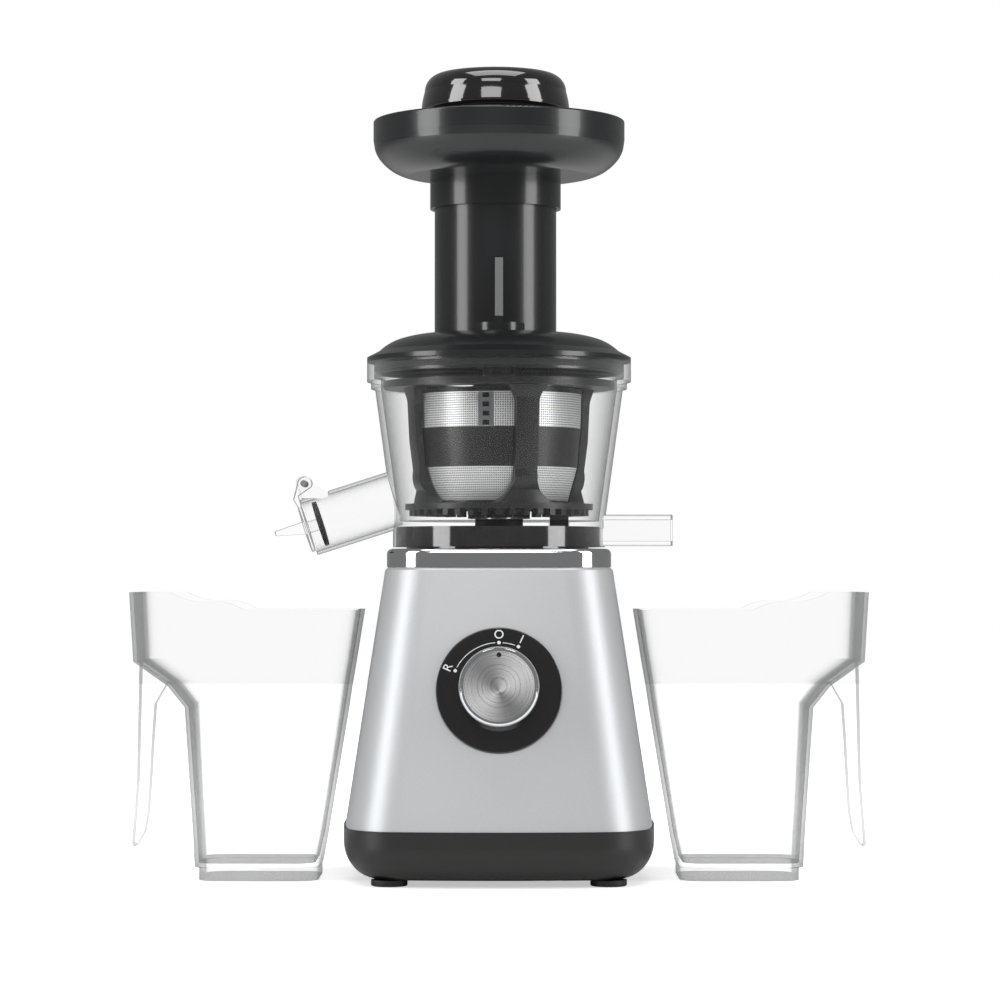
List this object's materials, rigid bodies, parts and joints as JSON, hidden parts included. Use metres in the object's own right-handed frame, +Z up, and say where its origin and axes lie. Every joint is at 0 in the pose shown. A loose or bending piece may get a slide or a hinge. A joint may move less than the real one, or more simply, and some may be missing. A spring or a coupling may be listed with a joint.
{
  "type": "cold press juicer",
  "caption": "Vertical slow juicer: tapered motor base with dial, clear juicing bowl with wiper basket, strainer and auger, lid with feed tube, tray and pusher, and handled jugs.",
  "frame": {"origin": "on the counter under the vertical axis of the machine, where the base stands", "axes": "+Z up; -Y is the front with the dial; juice leaves towards -X and pulp towards +X"},
  "size_m": [0.3646, 0.1702, 0.4046],
  "materials": {
    "housing": "satin silver lacquer",
    "black_plastic": "fine matt texture",
    "gloss_black": "polished",
    "chrome": "bright plated",
    "knob_face": "circular brushed",
    "clear_plastic": "clear moulded copolyester",
    "smoked_plastic": "satin tinted black",
    "basket_plastic": "satin black",
    "mesh": "perforated, dark",
    "silicone": "soft matt",
    "steel": "machined",
    "laminations": "stacked laminations",
    "copper": "varnished windings",
    "gear_plastic": "natural acetal",
    "auger_plastic": "tough black plastic"
  },
  "bodies": {
    "motor_base": {"base_housing": "housing", "base_pan": "black_plastic", "foot_front_left": "silicone", "foot_front_right": "silicone", "foot_rear_left": "silicone", "foot_rear_right": "silicone", "chrome_ring": "chrome", "top_deck": "gloss_black", "shaft_seal": "silicone", "dial_plate": "gloss_black", "rotary_switch": "black_plastic", "motor_stator": "laminations", "motor_windings_upper": "copper", "motor_lower_bracket": "steel", "gearbox_plate": "steel", "gearbox_cover": "black_plastic", "output_bearing": "steel", "layshaft_pin": "steel", "cable_gland": "black_plastic"},
    "knob": {"knob_hub": "chrome", "knob_cap": "knob_face"},
    "rotor": {"motor_rotor": "steel", "cooling_fan": "black_plastic"},
    "layshaft_gear": {"intermediate_gear": "gear_plastic"},
    "drive": {"output_gear": "gear_plastic", "drive_shaft": "steel"},
    "bowl": {"juicing_bowl": "clear_plastic", "bowl_collar": "gloss_black", "bowl_shaft_seal": "silicone", "gear_pin": "steel", "spout_hinge_pin": "steel", "strainer_frame": "basket_plastic", "strainer_mesh_upper": "mesh", "strainer_mesh_lower": "mesh"},
    "feed_screw": {"auger": "auger_plastic", "auger_socket": "steel"},
    "idler": {"idler_gear": "basket_plastic"},
    "wiper": {"wiper_basket": "basket_plastic", "wiper_blade_1": "silicone", "wiper_blade_2": "silicone", "wiper_blade_3": "silicone", "wiper_blade_4": "silicone"},
    "spout_cap": {"juice_cap": "clear_plastic", "cap_seal": "silicone"},
    "lid_body": {"lid": "smoked_plastic", "lid_gasket": "silicone"},
    "tray": {"hopper_tray": "smoked_plastic"},
    "pusher": {"pusher_body": "smoked_plastic", "pusher_cap": "gloss_black"},
    "left_jug": {"juice_jug": "clear_plastic"},
    "right_jug": {"pulp_jug": "clear_plastic"}
  },
  "joints": [
    {"name": "knob_turn", "type": "hinge", "parent": "motor_base", "child": "knob", "pos_m": [0, -0.06572, 0.0947], "axis": [0, -0.9881, 0.1536], "range_deg": [-24, 66]},
    {"name": "drive_spin", "type": "hinge", "parent": "motor_base", "child": "drive", "pos_m": [0, 0, 0.126], "axis": [0, 0, 1], "continuous": true},
    {"name": "rotor_spin", "type": "hinge", "parent": "motor_base", "child": "rotor", "pos_m": [0, 0.0068, 0.075], "axis": [0, 0, 1], "continuous": true},
    {"name": "layshaft_spin", "type": "hinge", "parent": "motor_base", "child": "layshaft_gear", "pos_m": [0, 0.03, 0.12], "axis": [0, 0, 1], "continuous": true},
    {"name": "bowl_lift", "type": "slide", "parent": "motor_base", "child": "bowl", "axis": [0, 0, 1], "range_m": [0, 0.2]},
    {"name": "auger_spin", "type": "hinge", "parent": "bowl", "child": "feed_screw", "pos_m": [0, 0, 0.2], "axis": [0, 0, 1], "continuous": true},
    {"name": "idler_spin", "type": "hinge", "parent": "bowl", "child": "idler", "pos_m": [0, 0.026, 0.18], "axis": [0, 0, 1], "continuous": true},
    {"name": "wiper_spin", "type": "hinge", "parent": "bowl", "child": "wiper", "pos_m": [0, 0, 0.21], "axis": [0, 0, 1], "continuous": true},
    {"name": "spout_cap_flip", "type": "hinge", "parent": "bowl", "child": "spout_cap", "pos_m": [-0.0973, 0, 0.1957], "axis": [0, 1, 0], "range_deg": [0, 100]},
    {"name": "lid_lift", "type": "slide", "parent": "bowl", "child": "lid_body", "axis": [0, 0, 1], "range_m": [0, 0.15]},
    {"name": "tray_lift", "type": "slide", "parent": "lid_body", "child": "tray", "axis": [0, 0, 1], "range_m": [0, 0.12]},
    {"name": "pusher_lift", "type": "slide", "parent": "tray", "child": "pusher", "axis": [0, 0, 1], "range_m": [0, 0.15]},
    {"name": "juice_jug_slide", "type": "slide", "parent": "motor_base", "child": "left_jug", "axis": [-1, 0, 0], "range_m": [0, 0.2]},
    {"name": "pulp_jug_slide", "type": "slide", "parent": "motor_base", "child": "right_jug", "axis": [1, 0, 0], "range_m": [0, 0.2]}
  ],
  "couplings": [
    {"joint": "rotor_spin", "follows": "drive_spin", "ratio": 24},
    {"joint": "layshaft_spin", "follows": "drive_spin", "ratio": -5},
    {"joint": "auger_spin", "follows": "drive_spin", "ratio": 1},
    {"joint": "idler_spin", "follows": "drive_spin", "ratio": -0.85714},
    {"joint": "wiper_spin", "follows": "drive_spin", "ratio": -0.3}
  ]
}
